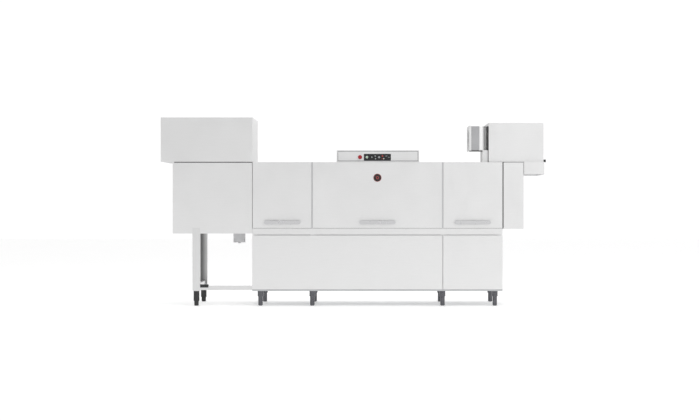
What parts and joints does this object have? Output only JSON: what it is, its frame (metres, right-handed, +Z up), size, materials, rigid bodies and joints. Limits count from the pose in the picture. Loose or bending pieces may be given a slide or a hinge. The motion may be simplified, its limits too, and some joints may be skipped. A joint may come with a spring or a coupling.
{
  "type": "commercial dishwasher",
  "caption": "Rack-conveyor dishwasher with lift-up doors, spray zones, a drying tunnel with a blower casing, and a steam condenser over the entry.",
  "frame": {"origin": "floor level at the middle of the whole machine's plan outline", "axes": "+X along the machine towards the rack entry, +Y towards the rear wall, +Z up; racks travel towards -X"},
  "size_m": [4.056, 0.864, 1.977],
  "materials": {
    "panel_steel": "fine satin",
    "dull_steel": "mill",
    "polished_steel": "polished",
    "black_plastic": "matte",
    "cast_housing": "cast",
    "motor_paint": "semi-gloss",
    "brass": "machined",
    "copper_fin": "rolled",
    "curtain_rubber": "matte",
    "display_glass": "gloss",
    "stop_red": "gloss",
    "button_white": "gloss",
    "badge_red": "gloss"
  },
  "bodies": {
    "root": {"base_frame": "dull_steel", "frame_posts": "dull_steel", "main_feet": "polished_steel", "lower_panel_left": "panel_steel", "lower_panel_right": "panel_steel", "rear_end_panels": "panel_steel", "tunnel_hood": "panel_steel", "wash_tank": "panel_steel", "prewash_tank": "panel_steel", "rinse_tray": "panel_steel", "tank_strainers": "dull_steel", "tank_heater": "dull_steel", "spray_arms": "dull_steel", "pump_casings": "cast_housing", "pump_motors": "motor_paint", "booster_boiler": "polished_steel", "drain_pipe": "black_plastic", "water_inlet": "brass", "conveyor_rails": "dull_steel", "gearmotor": "motor_paint", "dryer_tunnel": "panel_steel", "dryer_casing": "panel_steel", "dryer_leg_frame": "panel_steel", "dryer_feet": "black_plastic", "dryer_motor": "motor_paint", "dryer_heater": "dull_steel", "dryer_junction_box": "motor_paint", "condenser_casing": "panel_steel", "condenser_coil": "copper_fin", "exhaust_housing": "dull_steel", "entry_hood": "panel_steel", "entry_canopy": "panel_steel", "control_housing": "panel_steel", "display": "display_glass"},
    "wash_impeller": {"wash_impeller": "polished_steel"},
    "prewash_impeller": {"prewash_impeller": "polished_steel"},
    "drive_carriage": {"drive_carriage": "dull_steel"},
    "front_pawl": {"front_pawl": "polished_steel"},
    "rear_pawl": {"rear_pawl": "polished_steel"},
    "drive_pinion": {"drive_pinion": "polished_steel"},
    "rinse_door": {"rinse_door": "panel_steel", "rinse_handle": "polished_steel"},
    "wash_door": {"wash_door": "panel_steel", "wash_handle": "polished_steel", "badge": "badge_red"},
    "prewash_door": {"prewash_door": "panel_steel", "prewash_handle": "polished_steel"},
    "rinse_drum": {"rinse_drum": "black_plastic"},
    "wash_drum": {"wash_drum": "black_plastic"},
    "prewash_drum": {"prewash_drum": "black_plastic"},
    "dryer_fan": {"dryer_fan": "dull_steel"},
    "exhaust_fan": {"exhaust_fan": "black_plastic"},
    "entry_curtain": {"entry_curtain": "curtain_rubber"},
    "wash_curtain": {"wash_curtain": "curtain_rubber"},
    "rinse_curtain": {"rinse_curtain": "curtain_rubber"},
    "exit_curtain": {"exit_curtain": "curtain_rubber"},
    "e_stop_button": {"e_stop_button": "stop_red"},
    "start_button": {"start_button": "button_white"},
    "clamp_knob": {"clamp_knob": "black_plastic"}
  },
  "joints": [
    {"name": "rinse_door_lift", "type": "slide", "parent": "root", "child": "rinse_door", "axis": [0, 0, 1], "range_m": [0, 0.4]},
    {"name": "rinse_drum_turn", "type": "hinge", "parent": "root", "child": "rinse_drum", "pos_m": [-0.753, -0.321, 1.45], "axis": [-1, 0, 0], "range_deg": [0, 1045]},
    {"name": "wash_door_lift", "type": "slide", "parent": "root", "child": "wash_door", "axis": [0, 0, 1], "range_m": [0, 0.4]},
    {"name": "wash_drum_turn", "type": "hinge", "parent": "root", "child": "wash_drum", "pos_m": [0.247, -0.321, 1.45], "axis": [-1, 0, 0], "range_deg": [0, 1045]},
    {"name": "prewash_door_lift", "type": "slide", "parent": "root", "child": "prewash_door", "axis": [0, 0, 1], "range_m": [0, 0.4]},
    {"name": "prewash_drum_turn", "type": "hinge", "parent": "root", "child": "prewash_drum", "pos_m": [1.247, -0.321, 1.45], "axis": [-1, 0, 0], "range_deg": [0, 1045]},
    {"name": "carriage_stroke", "type": "slide", "parent": "root", "child": "drive_carriage", "axis": [-1, 0, 0], "range_m": [0, 0.15]},
    {"name": "pinion_turn", "type": "hinge", "parent": "root", "child": "drive_pinion", "pos_m": [-0.603, 0.19, 0.834], "axis": [0, 0, -1], "range_deg": [0, 290]},
    {"name": "front_pawl_tilt", "type": "hinge", "parent": "drive_carriage", "child": "front_pawl", "pos_m": [1.197, 0, 0.834], "axis": [0, -1, 0], "range_deg": [0, 45]},
    {"name": "rear_pawl_tilt", "type": "hinge", "parent": "drive_carriage", "child": "rear_pawl", "pos_m": [0.047, 0, 0.834], "axis": [0, -1, 0], "range_deg": [0, 45]},
    {"name": "wash_pump_spin", "type": "hinge", "parent": "root", "child": "wash_impeller", "pos_m": [0.147, 0.18, 0.31], "axis": [1, 0, 0], "continuous": true},
    {"name": "prewash_pump_spin", "type": "hinge", "parent": "root", "child": "prewash_impeller", "pos_m": [1.322, 0.18, 0.31], "axis": [1, 0, 0], "continuous": true},
    {"name": "dryer_fan_spin", "type": "hinge", "parent": "root", "child": "dryer_fan", "pos_m": [-1.493, 0, 1.61], "axis": [0, 0, 1], "continuous": true},
    {"name": "exhaust_fan_spin", "type": "hinge", "parent": "root", "child": "exhaust_fan", "pos_m": [1.272, -0.105, 1.762], "axis": [1, 0, 0], "continuous": true},
    {"name": "entry_curtain_swing", "type": "hinge", "parent": "root", "child": "entry_curtain", "pos_m": [1.732, 0, 1.335], "axis": [0, 1, 0], "range_deg": [0, 70]},
    {"name": "wash_curtain_swing", "type": "hinge", "parent": "root", "child": "wash_curtain", "pos_m": [0.932, 0, 1.335], "axis": [0, 1, 0], "range_deg": [0, 70]},
    {"name": "rinse_curtain_swing", "type": "hinge", "parent": "root", "child": "rinse_curtain", "pos_m": [-0.438, 0, 1.335], "axis": [0, 1, 0], "range_deg": [0, 70]},
    {"name": "exit_curtain_swing", "type": "hinge", "parent": "root", "child": "exit_curtain", "pos_m": [-1.874, 0, 1.335], "axis": [0, 1, 0], "range_deg": [0, 70]},
    {"name": "e_stop_press", "type": "slide", "parent": "root", "child": "e_stop_button", "axis": [0, 1, 0], "range_m": [0, 0.004], "stiffness_N_per_m": 900},
    {"name": "start_press", "type": "slide", "parent": "root", "child": "start_button", "axis": [0, 1, 0], "range_m": [0, 0.0015], "stiffness_N_per_m": 600},
    {"name": "clamp_knob_turn", "type": "hinge", "parent": "root", "child": "clamp_knob", "pos_m": [1.995, -0.25, 1.524], "axis": [1, 0, 0], "range_deg": [0, 90]}
  ],
  "couplings": [
    {"joint": "rinse_drum_turn", "follows": "rinse_door_lift", "rad_per_m": 45.455},
    {"joint": "wash_drum_turn", "follows": "wash_door_lift", "rad_per_m": 45.455},
    {"joint": "prewash_drum_turn", "follows": "prewash_door_lift", "rad_per_m": 45.455},
    {"joint": "pinion_turn", "follows": "carriage_stroke", "rad_per_m": 33.333}
  ]
}
